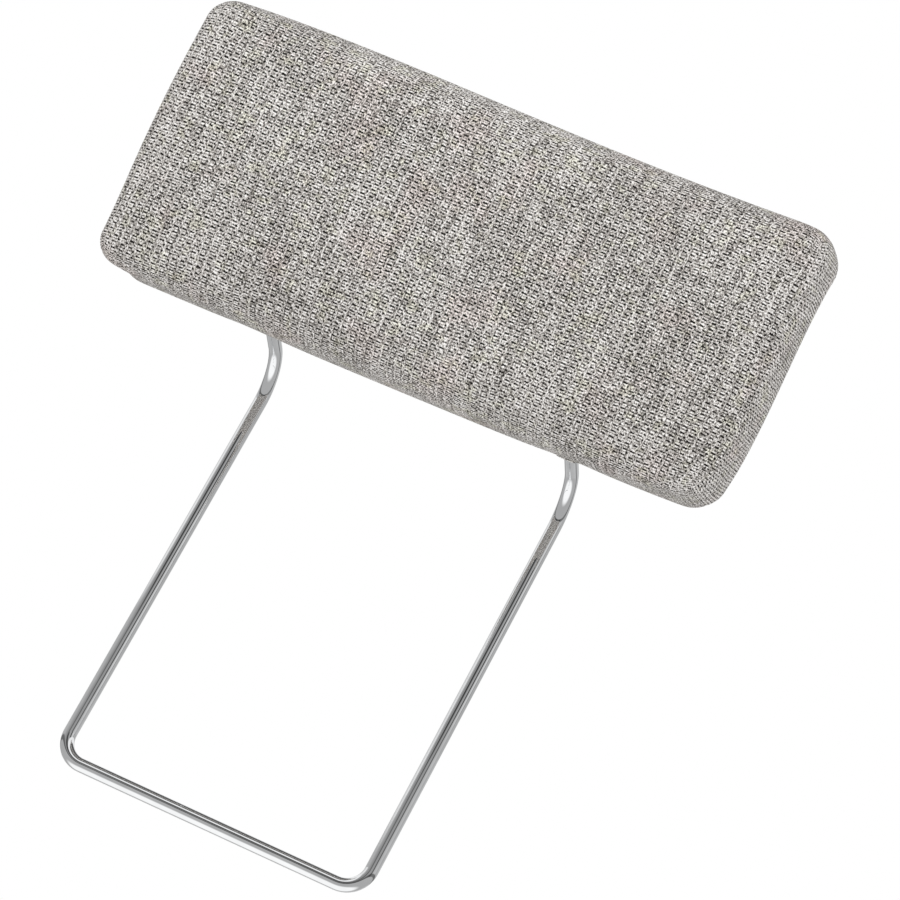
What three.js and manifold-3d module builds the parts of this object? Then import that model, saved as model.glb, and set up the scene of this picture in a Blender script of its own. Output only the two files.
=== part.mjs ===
// Sofa headrest: a padded cushion carried on one bent steel rod.
// Millimetres, +Z up, +X to the right seen from the front, +Y to the back.
// The origin is the middle of the rod's bottom bar, on its axis. The legs stand in the plane y = 0,
// and the cushion leans forward above them.

import * as THREE from 'three';
import { mergeVertices } from 'three/addons/utils/BufferGeometryUtils.js';
import Module from 'manifold-3d';

const wasm = await Module();
wasm.setup();

// Clearance that touching pieces keep
const GAP = 0.3;

// Bent rod
const ROD_DIAMETER = 12;
const FRAME_WIDTH = 286;
const LEG_HEIGHT = 360;
const FOOT_BEND_RADIUS = 22;
const FORWARD_BEND_RADIUS = 40;
const FORWARD_BEND_DEG = 85;
const NECK_LENGTH = 26;
const UP_BEND_RADIUS = 24;
const LEAN_DEG = 18;
const ROD_RUN_LENGTH = 130;
const ROD_RUN_START = 27;
const ROD_SIDES = 20;
const BEND_STEPS = 7;

// Cushion
const CUSHION_WIDTH = 566;
const CUSHION_HEIGHT = 247;
const CUSHION_DEPTH = 112;
const EDGE_RADIUS = 16;
const EDGE_STEPS = 2;
const GRID = [12, 6, 8];
const FRONT_CROWN = 7;
const END_CROWN = 3;
const TOP_CROWN = 2;
const END_BOW = 4;
const TOP_BOW = 1.5;
const CORNER_EASE = 4;
const CORNER_SHARPNESS = 6;
const COVER_THICKNESS = 1.6;
const SEAM_INSET = 7;
const SEAM_GAP = 0.6;
const WADDING_THICKNESS = 6;
const REAR_PAD_THICKNESS = 25;
const ROD_HOLE_CLEARANCE = 0.8;

// Board that the rod is clamped to
const BOARD_THICKNESS = 9;
const BOARD_END_MARGIN = 44;
const BOARD_BOTTOM_MARGIN = 24;
const BOARD_TOP_MARGIN = 34;
const BOARD_CORNER_RADIUS = 14;

// Clamps and their fasteners
const CLAMP_WIDTH = 18;
const CLAMP_THICKNESS = 1.6;
const CLAMP_FOOT = 15;
const CLAMP_RISE_LOW = 16;
const CLAMP_RISE_HIGH = 112;
const SCREW_DIAMETER = 5;
const SCREW_HEAD_DIAMETER = 9.5;
const SCREW_HEAD_HEIGHT = 3;
const SCREW_LENGTH = 11.4;
const SCREW_CHAMFER = 0.6;
// Pan head from its seat to its top: [part of the radius, part of the height]
const PAN_HEAD = [[1, 0], [1, 0.5], [0.8, 0.9], [0.5, 1], [0, 1]];
const SCREW_HOLE_CLEARANCE = 0.3;
const HEX_ACROSS = 3;
const HEX_DEPTH = 1.6;
const NUT_FLANGE_DIAMETER = 16;
const NUT_FLANGE_THICKNESS = 1.2;
const NUT_BARREL_DIAMETER = 7;
const NUT_BARREL_LENGTH = 7.4;
const ROUND_SIDES = 12;
const CUT_OVERRUN = 1;

// Zip in the lower back of the cover
const ZIP_HEIGHT = 40;
const ZIP_LENGTH = 440;
const ZIP_SLOT_HEIGHT = 9;
const ZIP_TAPE_WIDTH = 12;
const ZIP_TAPE_THICKNESS = 0.8;
const ZIP_SPLIT = 1.2;
const ZIP_ROW_WIDTH = 2.5;
const ZIP_ROW_THICKNESS = 1.8;
const ZIP_END = 10;
const ZIP_STOP_LENGTH = 3;
const SLIDER_LENGTH = 12;
const SLIDER_PLATE = 1.2;
const SLIDER_WALL = 0.7;
const SLIDER_TAPER = 0.72;
const WALL_OVERLAP = 0.2;
const BAIL_LENGTH = 6.8;
const BAIL_HEIGHT = 3.6;
const BAIL_BAR = 1.2;
const BAIL_WIDTH = 1.6;
const PULLER_LENGTH = 21;
const PULLER_WIDTH = 5.6;
const PULLER_THICKNESS = 1;
const GRIP_HOLE = 2;
const GRIP_MARGIN = 1.6;

// Sizes that follow from the ones above
const ROD_RADIUS = ROD_DIAMETER / 2;
const LEAN = THREE.MathUtils.degToRad(LEAN_DEG);
const FORWARD_BEND = THREE.MathUtils.degToRad(FORWARD_BEND_DEG);
const HALF = new THREE.Vector3(CUSHION_WIDTH / 2, CUSHION_DEPTH / 2, CUSHION_HEIGHT / 2);
const COVER_BACK = HALF.y;
const COVER_INNER = COVER_BACK - COVER_THICKNESS;
const PAD_BACK = COVER_INNER - GAP;
const PAD_FRONT = PAD_BACK - REAR_PAD_THICKNESS;
const BOARD_REAR = PAD_FRONT - GAP;
const BOARD_FRONT = BOARD_REAR - BOARD_THICKNESS;
const ROD_DEPTH = BOARD_REAR + GAP + ROD_RADIUS;
const RUN_START_Z = ROD_RUN_START - HALF.z;
const SEAM_X = HALF.x - SEAM_INSET;
const LINING_INSET = COVER_THICKNESS + GAP;
const CORE_INSET = LINING_INSET + WADDING_THICKNESS + GAP;
const SIDES = [['left', -1], ['right', 1]];
const BIG = 2 * CUSHION_WIDTH;

// Closed geometry to solid and back
function solid(geometry) {
  const plain = geometry.index ? geometry.clone() : geometry;
  plain.deleteAttribute('normal');
  plain.deleteAttribute('uv');
  const merged = mergeVertices(plain, 1e-4);
  const index = Array.from(merged.index.array);
  const triVerts = [];
  for (let i = 0; i < index.length; i += 3) {
    const [a, b, c] = index.slice(i, i + 3);
    if (a !== b && b !== c && c !== a) triVerts.push(a, b, c);
  }
  return new wasm.Manifold(new wasm.Mesh({
    numProp: 3,
    vertProperties: new Float32Array(merged.attributes.position.array),
    triVerts: new Uint32Array(triVerts),
  }));
}

function toGeometry(body) {
  const mesh = body.getMesh();
  const geometry = new THREE.BufferGeometry();
  geometry.setAttribute('position', new THREE.BufferAttribute(mesh.vertProperties, 3));
  geometry.setIndex(new THREE.BufferAttribute(mesh.triVerts, 1));
  geometry.computeVertexNormals();
  return geometry;
}

function block(x0, x1, y0, y1, z0, z1) {
  const box = new THREE.BoxGeometry(x1 - x0, y1 - y0, z1 - z0);
  return solid(box.translate((x0 + x1) / 2, (y0 + y1) / 2, (z0 + z1) / 2));
}

// Outline in X and Z, carried through the depth from y0 to y1
function plateY(shape, y0, y1) {
  const plate = new THREE.ExtrudeGeometry(shape, { depth: y1 - y0, bevelEnabled: false, curveSegments: ROUND_SIDES / 4 });
  return plate.rotateX(Math.PI / 2).translate(0, y1, 0);
}

// Outline in X and Y, carried up from z0 to z1
function plateZ(shape, z0, z1) {
  const plate = new THREE.ExtrudeGeometry(shape, { depth: z1 - z0, bevelEnabled: false, curveSegments: ROUND_SIDES / 2 });
  return plate.translate(0, 0, z0);
}

function roundedRectangle(x0, x1, y0, y1, radius) {
  const shape = new THREE.Shape();
  shape.moveTo(x0 + radius, y0);
  shape.lineTo(x1 - radius, y0);
  shape.absarc(x1 - radius, y0 + radius, radius, -Math.PI / 2, 0);
  shape.lineTo(x1, y1 - radius);
  shape.absarc(x1 - radius, y1 - radius, radius, 0, Math.PI / 2);
  shape.lineTo(x0 + radius, y1);
  shape.absarc(x0 + radius, y1 - radius, radius, Math.PI / 2, Math.PI);
  shape.lineTo(x0, y0 + radius);
  shape.absarc(x0 + radius, y0 + radius, radius, Math.PI, 1.5 * Math.PI);
  return shape;
}

// Turned piece on an axis along Y; the profile is a list of [radius, y]
function turned(profile, sides = ROUND_SIDES) {
  const points = profile.map(([radius, y]) => new THREE.Vector2(radius, y));
  return new THREE.LatheGeometry(points, sides);
}

function rodHoleY(radius, y0, y1) {
  return solid(turned([[0, y0], [radius, y0], [radius, y1], [0, y1]]));
}

// Places along one half of the rod, from the middle of the bottom bar to the end in the cushion
function halfRodStations(side) {
  const legX = side * FRAME_WIDTH / 2;
  const stations = [];
  for (let i = 0; i <= BEND_STEPS; i++) {
    const turn = (i / BEND_STEPS) * Math.PI / 2;
    const inward = FOOT_BEND_RADIUS * (1 - Math.sin(turn));
    stations.push(new THREE.Vector3(legX - side * inward, 0, FOOT_BEND_RADIUS * (1 - Math.cos(turn))));
  }
  for (let i = 0; i <= BEND_STEPS; i++) {
    const turn = (i / BEND_STEPS) * FORWARD_BEND;
    const back = FORWARD_BEND_RADIUS * (Math.cos(turn) - 1);
    stations.push(new THREE.Vector3(legX, back, LEG_HEIGHT + FORWARD_BEND_RADIUS * Math.sin(turn)));
  }
  const neckEnd = stations.at(-1).clone();
  neckEnd.addScaledVector(heading(FORWARD_BEND), NECK_LENGTH);
  const centre = neckEnd.clone();
  centre.y += UP_BEND_RADIUS * Math.cos(FORWARD_BEND);
  centre.z += UP_BEND_RADIUS * Math.sin(FORWARD_BEND);
  for (let i = 0; i <= BEND_STEPS; i++) {
    const turn = THREE.MathUtils.lerp(FORWARD_BEND, LEAN, i / BEND_STEPS);
    const back = UP_BEND_RADIUS * Math.cos(turn);
    stations.push(new THREE.Vector3(legX, centre.y - back, centre.z - UP_BEND_RADIUS * Math.sin(turn)));
  }
  const end = stations.at(-1).clone();
  stations.push(end.addScaledVector(heading(LEAN), ROD_RUN_LENGTH));
  return stations;
}

function heading(angle) {
  return new THREE.Vector3(0, -Math.sin(angle), Math.cos(angle));
}

// Curve whose steps fall on the stations, so that straight runs take one step each
class StationCurve extends THREE.Curve {
  constructor(stations) {
    super();
    this.stations = stations;
  }

  getPoint(t, target = new THREE.Vector3()) {
    const last = this.stations.length - 1;
    const place = THREE.MathUtils.clamp(t, 0, 1) * last;
    const i = Math.min(Math.floor(place), last - 1);
    return target.lerpVectors(this.stations[i], this.stations[i + 1], place - i);
  }

  getPointAt(u, target) {
    return this.getPoint(u, target);
  }

  getTangentAt(u, target) {
    return this.getTangent(u, target);
  }
}

function sweptRod(radius) {
  const stations = [...halfRodStations(-1).reverse(), ...halfRodStations(1)];
  const section = new THREE.Shape().absarc(0, 0, radius, 0, 2 * Math.PI);
  return new THREE.ExtrudeGeometry(section, {
    extrudePath: new StationCurve(stations),
    steps: stations.length - 1,
    curveSegments: ROD_SIDES / 2,
  });
}

// The cushion's own frame, hung on the start of the rod's straight run
const cushion = new THREE.Group();
cushion.rotation.x = LEAN;
const runStart = halfRodStations(1).at(-2);
const runStartInCushion = new THREE.Vector3(0, ROD_DEPTH, RUN_START_Z).applyEuler(cushion.rotation);
cushion.position.set(0, runStart.y, runStart.z).sub(runStartInCushion);
cushion.updateMatrixWorld(true);
const intoCushion = cushion.matrixWorld.clone().invert();

// One step of the crowned block's grid: how far along its flat part, and how far round its edge
function gridPlace(value, cells) {
  const flat = 1 - (2 * EDGE_STEPS) / cells;
  const turn = Math.max(0, (Math.abs(value) - flat) / (1 - flat));
  return {
    along: THREE.MathUtils.clamp(value / flat, -1, 1),
    tilt: Math.sign(value) * Math.tan(turn * Math.PI / 4),
  };
}

function crownShift(a, b, c) {
  const ease = CORNER_EASE * Math.abs(a * c) ** CORNER_SHARPNESS;
  const ends = 1 - c * c;
  const middle = 1 - a * a;
  const depthwise = 1 - b * b;
  return new THREE.Vector3(
    a * ends * (END_BOW + END_CROWN * depthwise) - Math.sign(a) * ease,
    Math.min(0, b) * FRONT_CROWN * middle * ends,
    c * middle * (TOP_BOW + TOP_CROWN * depthwise) - Math.sign(c) * ease,
  );
}

// Crowned block with rounded edges, its faces moved in by an inset. Every inset shares the same
// grid and the same crown, so nested layers lie parallel.
function paddedBlock(inset) {
  const geometry = new THREE.BoxGeometry(2, 2, 2, ...GRID);
  const position = geometry.attributes.position;
  const core = HALF.clone().subScalar(EDGE_RADIUS);
  for (let i = 0; i < position.count; i++) {
    const [x, y, z] = [position.getX(i), position.getY(i), position.getZ(i)]
      .map((value, axis) => gridPlace(value, GRID[axis]));
    const out = new THREE.Vector3(x.tilt, y.tilt, z.tilt).normalize();
    const base = new THREE.Vector3(x.along, y.along, z.along).multiply(core);
    const outer = base.clone().addScaledVector(out, EDGE_RADIUS).divide(HALF);
    const place = base.addScaledVector(out, EDGE_RADIUS - inset).add(crownShift(...outer));
    position.setXYZ(i, place.x, place.y, place.z);
  }
  return solid(geometry);
}

// Materials
const fabric = new THREE.MeshStandardMaterial({ color: 0xa5a19d, roughness: 0.95, metalness: 0 });
const chrome = new THREE.MeshStandardMaterial({ color: 0xd5d7da, roughness: 0.08, metalness: 1 });
const foam = new THREE.MeshStandardMaterial({ color: 0xe8dfc0, roughness: 0.9, metalness: 0 });
const wadding = new THREE.MeshStandardMaterial({ color: 0xf2f2ee, roughness: 1, metalness: 0 });
const plywood = new THREE.MeshStandardMaterial({ color: 0xc9a36b, roughness: 0.75, metalness: 0 });
const zincSteel = new THREE.MeshStandardMaterial({ color: 0xaeb2b6, roughness: 0.4, metalness: 1 });
const tapeCloth = new THREE.MeshStandardMaterial({ color: 0x77736f, roughness: 0.9, metalness: 0 });
const nylon = new THREE.MeshStandardMaterial({ color: 0x6d6a67, roughness: 0.5, metalness: 0 });

const group = new THREE.Group();
group.add(cushion);

function addTo(parent, name, geometry, material, place = [0, 0, 0]) {
  const mesh = new THREE.Mesh(geometry, material);
  mesh.name = name;
  mesh.position.set(...place);
  parent.add(mesh);
}

// Bent rod: both legs, the bottom bar and the ends inside the cushion are one piece
function addRod() {
  addTo(group, 'frame_rod', toGeometry(solid(sweptRod(ROD_RADIUS))), chrome);
}

// Clamp places in the cushion, beside the straight run of each rod end
function clampPlaces() {
  const places = [];
  for (const [sideName, side] of SIDES) {
    for (const [levelName, rise] of [['lower', CLAMP_RISE_LOW], ['upper', CLAMP_RISE_HIGH]]) {
      places.push({ name: `${sideName}_${levelName}`, x: side * FRAME_WIDTH / 2, z: RUN_START_Z + rise });
    }
  }
  return places;
}

const clampBore = ROD_RADIUS + GAP;
const clampOuter = clampBore + CLAMP_THICKNESS;
const clampReach = clampOuter + CLAMP_FOOT;
const screwOffset = clampOuter + CLAMP_FOOT / 2;
const footRear = BOARD_REAR + GAP + CLAMP_THICKNESS;

function screwPlaces() {
  const places = [];
  for (const clamp of clampPlaces()) {
    for (const [end, side] of [['inner', -Math.sign(clamp.x)], ['outer', Math.sign(clamp.x)]]) {
      places.push({ name: `${clamp.name}_${end}`, x: clamp.x + side * screwOffset, z: clamp.z });
    }
  }
  return places;
}

// Saddle clamp: a flat foot on each side and an arch over the rod
function addClamps() {
  const foot = BOARD_REAR + GAP;
  const profile = new THREE.Shape();
  profile.moveTo(-clampReach, foot);
  profile.lineTo(-clampBore, foot);
  profile.lineTo(-clampBore, ROD_DEPTH);
  profile.absarc(0, ROD_DEPTH, clampBore, Math.PI, 0, true);
  profile.lineTo(clampBore, foot);
  profile.lineTo(clampReach, foot);
  profile.lineTo(clampReach, footRear);
  profile.lineTo(clampOuter, footRear);
  profile.lineTo(clampOuter, ROD_DEPTH);
  profile.absarc(0, ROD_DEPTH, clampOuter, 0, Math.PI, false);
  profile.lineTo(-clampOuter, footRear);
  profile.lineTo(-clampReach, footRear);
  const hole = rodHoleY(SCREW_DIAMETER / 2 + SCREW_HOLE_CLEARANCE, BOARD_FRONT, PAD_BACK);
  const body = solid(plateZ(profile, -CLAMP_WIDTH / 2, CLAMP_WIDTH / 2))
    .subtract(hole.translate([-screwOffset, 0, 0]))
    .subtract(hole.translate([screwOffset, 0, 0]));
  for (const { name, x, z } of clampPlaces()) {
    addTo(cushion, `rod_clamp_${name}`, toGeometry(body), zincSteel, [x, 0, z]);
  }
}

// Pan-head socket screws from behind, and the flanged nuts that they reach from the front
function addFasteners() {
  const seat = footRear + GAP;
  const shank = SCREW_DIAMETER / 2;
  const head = SCREW_HEAD_DIAMETER / 2;
  const tip = seat - SCREW_LENGTH;
  const screw = solid(turned([
    [0, tip],
    [shank - SCREW_CHAMFER, tip],
    [shank, tip + SCREW_CHAMFER],
    [shank, seat],
    ...PAN_HEAD.map(([across, up]) => [head * across, seat + SCREW_HEAD_HEIGHT * up]),
  ]));
  const headTop = seat + SCREW_HEAD_HEIGHT;
  const hexRadius = HEX_ACROSS / Math.sqrt(3);
  const socket = solid(turned([
    [0, headTop - HEX_DEPTH],
    [hexRadius, headTop - HEX_DEPTH],
    [hexRadius, headTop + CUT_OVERRUN],
    [0, headTop + CUT_OVERRUN],
  ], 6));
  const screwGeometry = toGeometry(screw.subtract(socket));
  const flangeRear = BOARD_FRONT - GAP;
  const flangeFront = flangeRear - NUT_FLANGE_THICKNESS;
  const bore = shank + SCREW_HOLE_CLEARANCE;
  const nutGeometry = toGeometry(solid(turned([
    [bore, flangeFront],
    [NUT_FLANGE_DIAMETER / 2, flangeFront],
    [NUT_FLANGE_DIAMETER / 2, flangeRear],
    [NUT_BARREL_DIAMETER / 2, flangeRear],
    [NUT_BARREL_DIAMETER / 2, flangeRear + NUT_BARREL_LENGTH],
    [bore, flangeRear + NUT_BARREL_LENGTH],
    [bore, flangeFront],
  ])));
  for (const { name, x, z } of screwPlaces()) {
    addTo(cushion, `clamp_screw_${name}`, screwGeometry, zincSteel, [x, 0, z]);
    addTo(cushion, `flanged_nut_${name}`, nutGeometry, zincSteel, [x, 0, z]);
  }
}

const boardX = HALF.x - BOARD_END_MARGIN;
const boardBottom = BOARD_BOTTOM_MARGIN - HALF.z;
const boardTop = HALF.z - BOARD_TOP_MARGIN;

function boardOutline(extra) {
  const radius = BOARD_CORNER_RADIUS + extra;
  return roundedRectangle(-boardX - extra, boardX + extra, boardBottom - extra, boardTop + extra, radius);
}

// Plywood board with a hole for the barrel of each nut
function addBoard() {
  let body = solid(plateY(boardOutline(0), BOARD_FRONT, BOARD_REAR));
  const hole = rodHoleY(NUT_BARREL_DIAMETER / 2 + GAP, BOARD_FRONT - CUT_OVERRUN, BOARD_REAR + CUT_OVERRUN);
  for (const { x, z } of screwPlaces()) body = body.subtract(hole.translate([x, 0, z]));
  addTo(cushion, 'back_board', toGeometry(body), plywood);
}

// Foam core with a pocket for the board and a recess for the flange of each nut
function addCore() {
  const pocket = solid(plateY(boardOutline(GAP), BOARD_FRONT - GAP, BOARD_REAR + CUT_OVERRUN));
  let body = paddedBlock(CORE_INSET)
    .intersect(block(-BIG, BIG, -BIG, BOARD_REAR, -BIG, BIG))
    .subtract(pocket);
  const flangeFront = BOARD_FRONT - 2 * GAP - NUT_FLANGE_THICKNESS;
  const recess = rodHoleY(NUT_FLANGE_DIAMETER / 2 + GAP, flangeFront, BOARD_FRONT);
  for (const { x, z } of screwPlaces()) body = body.subtract(recess.translate([x, 0, z]));
  addTo(cushion, 'foam_core', toGeometry(body), foam);
}

// Wadding: a tray over the front, the ends, the top and the underside of the core
function addWadding() {
  const body = paddedBlock(LINING_INSET)
    .subtract(paddedBlock(LINING_INSET + WADDING_THICKNESS))
    .intersect(block(-BIG, BIG, -BIG, BOARD_REAR, -BIG, BIG));
  addTo(cushion, 'wadding_wrap', toGeometry(body), wadding);
}

const zipZ = ZIP_HEIGHT - HALF.z;
const tapeBack = COVER_INNER - GAP;
const tapeFront = tapeBack - ZIP_TAPE_THICKNESS;
const rowFront = tapeBack + GAP;
const rowBack = rowFront + ZIP_ROW_THICKNESS;
const innerPlateFront = tapeFront - GAP - SLIDER_PLATE;
const outerPlateFront = rowBack + GAP;
const outerPlateBack = outerPlateFront + SLIDER_PLATE;
const tapeReach = ZIP_SPLIT / 2 + ZIP_TAPE_WIDTH;
const rowReach = ZIP_SPLIT / 2 + ZIP_ROW_WIDTH;
const rowHalf = ZIP_LENGTH / 2 - ZIP_END;

// The room that the rod takes in the cushion
const channel = ROD_RADIUS + ROD_HOLE_CLEARANCE;
const rodRoom = solid(sweptRod(channel).applyMatrix4(intoCushion));

// Rear foam pad: channels for the rod ends, pockets for the clamps, and a groove behind the zip
function addRearPad() {
  const padFace = PAD_FRONT - CUT_OVERRUN;
  let body = paddedBlock(LINING_INSET)
    .intersect(block(-BIG, BIG, PAD_FRONT, BIG, -BIG, BIG))
    .subtract(rodRoom);
  const channelTop = RUN_START_Z + ROD_RUN_LENGTH + GAP;
  for (const [, side] of SIDES) {
    const x = side * FRAME_WIDTH / 2;
    body = body.subtract(block(x - channel, x + channel, padFace, ROD_DEPTH, RUN_START_Z, channelTop));
  }
  const pocketX = clampReach + GAP;
  const pocketZ = CLAMP_WIDTH / 2 + GAP;
  const pocketBack = ROD_DEPTH + clampOuter + GAP;
  for (const { x, z } of clampPlaces()) {
    body = body.subtract(block(x - pocketX, x + pocketX, padFace, pocketBack, z - pocketZ, z + pocketZ));
  }
  const grooveX = ZIP_LENGTH / 2 + GAP;
  const grooveZ = tapeReach + GAP;
  const grooveFront = innerPlateFront - GAP;
  body = body.subtract(block(-grooveX, grooveX, grooveFront, BIG, zipZ - grooveZ, zipZ + grooveZ));
  addTo(cushion, 'rear_foam_pad', toGeometry(body), foam);
}

// Cover: one panel wrapped round the front, top, back and underside, and a panel on each end
function addCover() {
  const slotX = (ZIP_LENGTH - ZIP_END) / 2;
  const slotLow = zipZ - ZIP_SLOT_HEIGHT / 2;
  const slotHigh = zipZ + ZIP_SLOT_HEIGHT / 2;
  const slot = block(-slotX, slotX, COVER_INNER - CUT_OVERRUN, COVER_BACK + CUT_OVERRUN, slotLow, slotHigh);
  const shell = paddedBlock(0).subtract(paddedBlock(COVER_THICKNESS));
  const wrap = shell
    .intersect(block(-SEAM_X, SEAM_X, -BIG, BIG, -BIG, BIG))
    .subtract(slot)
    .subtract(rodRoom);
  addTo(cushion, 'cover_wrap_panel', toGeometry(wrap), fabric);
  const left = shell.intersect(block(-BIG, -SEAM_X - SEAM_GAP, -BIG, BIG, -BIG, BIG));
  const right = shell.intersect(block(SEAM_X + SEAM_GAP, BIG, -BIG, BIG, -BIG, BIG));
  addTo(cushion, 'cover_end_panel_left', toGeometry(left), fabric);
  addTo(cushion, 'cover_end_panel_right', toGeometry(right), fabric);
}

// Zip: two tapes sewn inside the slot, a row of teeth on each, and the stops at both ends
function addZip() {
  const half = ZIP_LENGTH / 2;
  const rowInner = ZIP_SPLIT / 2;
  for (const [level, up] of [['lower', -1], ['upper', 1]]) {
    const span = (near, far) => (up > 0 ? [zipZ + near, zipZ + far] : [zipZ - far, zipZ - near]);
    const tape = block(-half, half, tapeFront, tapeBack, ...span(rowInner, tapeReach));
    addTo(cushion, `zip_tape_${level}`, toGeometry(tape), tapeCloth);
    const row = block(-rowHalf, rowHalf, rowFront, rowBack, ...span(rowInner, rowReach));
    addTo(cushion, `zip_teeth_${level}`, toGeometry(row), nylon);
    const stopX = rowHalf + GAP;
    const stop = block(stopX, stopX + ZIP_STOP_LENGTH, rowFront, rowBack, ...span(rowInner, rowReach));
    addTo(cushion, `zip_top_stop_${level}`, toGeometry(stop), zincSteel);
  }
  const end = -rowHalf - GAP;
  const bottomStop = block(end - ZIP_STOP_LENGTH, end, rowFront, rowBack, zipZ - rowReach, zipZ + rowReach);
  addTo(cushion, 'zip_bottom_stop', toGeometry(bottomStop), zincSteel);
}

// The slider waits at the closed end
const sliderX = rowHalf - SLIDER_LENGTH / 2 - GAP;
const sliderHalf = rowReach + GAP + SLIDER_WALL;
const pullPivot = outerPlateBack + (BAIL_HEIGHT - BAIL_BAR) / 2;

// Slider: two plates round the teeth, joined by a thin wedge, with a bail on the back
function addSlider() {
  const front = SLIDER_LENGTH / 2;
  const shoulder = SLIDER_LENGTH / 6;
  const tail = sliderHalf * SLIDER_TAPER;
  const outline = new THREE.Shape();
  outline.moveTo(-front, -tail);
  outline.lineTo(-shoulder, -sliderHalf);
  outline.lineTo(front, -sliderHalf);
  outline.lineTo(front, sliderHalf);
  outline.lineTo(-shoulder, sliderHalf);
  outline.lineTo(-front, tail);
  const wedgeHalf = ZIP_SPLIT / 2 - GAP;
  const bailX = BAIL_LENGTH / 2;
  const bailFoot = outerPlateBack - SLIDER_PLATE / 2;
  const bailTop = outerPlateBack + BAIL_HEIGHT;
  const eyeX = bailX - BAIL_BAR;
  const eyeTop = bailTop - BAIL_BAR;
  const bail = new THREE.Shape();
  bail.moveTo(-bailX, bailFoot);
  bail.lineTo(bailX, bailFoot);
  bail.lineTo(bailX, eyeTop);
  bail.lineTo(eyeX, bailTop);
  bail.lineTo(-eyeX, bailTop);
  bail.lineTo(-bailX, eyeTop);
  const eye = block(-eyeX, eyeX, outerPlateBack, eyeTop, -BAIL_WIDTH, BAIL_WIDTH);
  const outer = solid(plateY(outline, outerPlateFront, outerPlateBack));
  const inner = solid(plateY(outline, innerPlateFront, innerPlateFront + SLIDER_PLATE));
  const wallFront = innerPlateFront + WALL_OVERLAP;
  const wallBack = outerPlateBack - WALL_OVERLAP;
  const wedge = block(shoulder, front, wallFront, wallBack, -wedgeHalf, wedgeHalf);
  const flange = block(-shoulder, front, rowFront + GAP, wallBack, sliderHalf - SLIDER_WALL, sliderHalf);
  const body = outer
    .add(inner)
    .add(wedge)
    .add(flange)
    .add(flange.translate([0, 0, SLIDER_WALL - 2 * sliderHalf]))
    .add(solid(plateZ(bail, -BAIL_WIDTH / 2, BAIL_WIDTH / 2)).subtract(eye));
  addTo(cushion, 'zip_slider', toGeometry(body), zincSteel, [sliderX, 0, zipZ]);
}

// Puller: a flat tab whose cross bar turns in the bail
function addPuller() {
  const bar = BAIL_BAR / 2;
  const half = PULLER_WIDTH / 2;
  const outline = roundedRectangle(bar - PULLER_LENGTH, bar, -half, half, bar);
  const windowEnd = -BAIL_LENGTH / 2 - 2 * bar;
  outline.holes.push(roundedRectangle(windowEnd, -bar, -BAIL_WIDTH, BAIL_WIDTH, bar / 2));
  const gripEnd = bar - PULLER_LENGTH + GRIP_MARGIN;
  outline.holes.push(roundedRectangle(gripEnd, gripEnd + GRIP_HOLE, -GRIP_HOLE / 2, GRIP_HOLE / 2, bar / 2));
  const body = plateY(outline, pullPivot - PULLER_THICKNESS / 2, pullPivot + PULLER_THICKNESS / 2);
  addTo(cushion, 'zip_puller', toGeometry(solid(body)), zincSteel, [sliderX, 0, zipZ]);
}

addRod();
addClamps();
addFasteners();
addBoard();
addCore();
addWadding();
addRearPad();
addCover();
addZip();
addSlider();
addPuller();

export default group;
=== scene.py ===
"""Sofa headrest: a padded cushion in a chunky grey weave on one bent chrome-plated rod."""

import math

import bpy
import numpy as np
from mathutils import Matrix, Vector


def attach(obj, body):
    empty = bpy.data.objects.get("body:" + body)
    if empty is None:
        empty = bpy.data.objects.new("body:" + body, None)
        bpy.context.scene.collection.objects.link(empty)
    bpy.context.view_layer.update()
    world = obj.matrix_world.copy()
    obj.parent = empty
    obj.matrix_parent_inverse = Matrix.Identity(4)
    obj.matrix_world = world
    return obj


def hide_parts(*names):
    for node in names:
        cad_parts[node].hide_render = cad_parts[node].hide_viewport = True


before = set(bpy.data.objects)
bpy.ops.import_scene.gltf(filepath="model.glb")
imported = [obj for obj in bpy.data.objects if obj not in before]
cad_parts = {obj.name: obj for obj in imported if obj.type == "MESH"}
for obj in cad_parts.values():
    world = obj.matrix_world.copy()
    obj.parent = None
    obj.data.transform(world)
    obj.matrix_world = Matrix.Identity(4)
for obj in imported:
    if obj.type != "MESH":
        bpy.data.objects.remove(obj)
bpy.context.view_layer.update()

MM = 0.001

# The cushion's own frame: it leans forward above the legs
LEAN = math.radians(18)
CUSHION_PLACE = Vector((0, -146.3507, 499.5366)) * MM
CUSHION_FRAME = Matrix.Translation(CUSHION_PLACE) @ Matrix.Rotation(LEAN, 4, "X")

# Cushion, in millimetres in its own frame: x to the right, y to the back, z up
HALF = np.array([283.0, 56.0, 123.5])
EDGE_RADIUS = 24.0
EDGE_STEPS = 6
CELLS = (98, 22, 44)
FRONT_CROWN = 5.0
SEAM_TUCK = 1.8
ROD_DEPTH = 35.1

# How much the ends and the long edges bow, and how far the cushion is out of square
END_BOW = 3.0
RIGHT_BOW = 1.5
LEFT_BOW = 4.9
END_SLANT = 3.3
EDGE_BOW = 1.5
EDGE_SAG = 1.1
BOTTOM_SLANT = 1.2
TOP_SLANT = 6.0
# For each corner: side, level, sharpness, pull along x and z, and further swell along x and z
CORNERS = (
    ("right", "top", 3.0, 9.0, 3.7, 0.4, 7.9),
    ("right", "bottom", 4.0, -9.3, 5.3, 3.6, -6.6),
    ("left", "top", 4.0, -1.1, -4.4, 1.2, -3.6),
    ("left", "bottom", 4.0, -4.7, -2.9, -0.8, 4.2),
)

# Air in the cover
BLANK_INSET = 0.3
INSET_FADE = 20.0
HELD_ROUND_ROD = 10.0
CLOTH_MASS = 0.3
AIR_PRESSURE = 4
LAST_FRAME = 20
MOST_SWELL = 3.0

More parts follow.
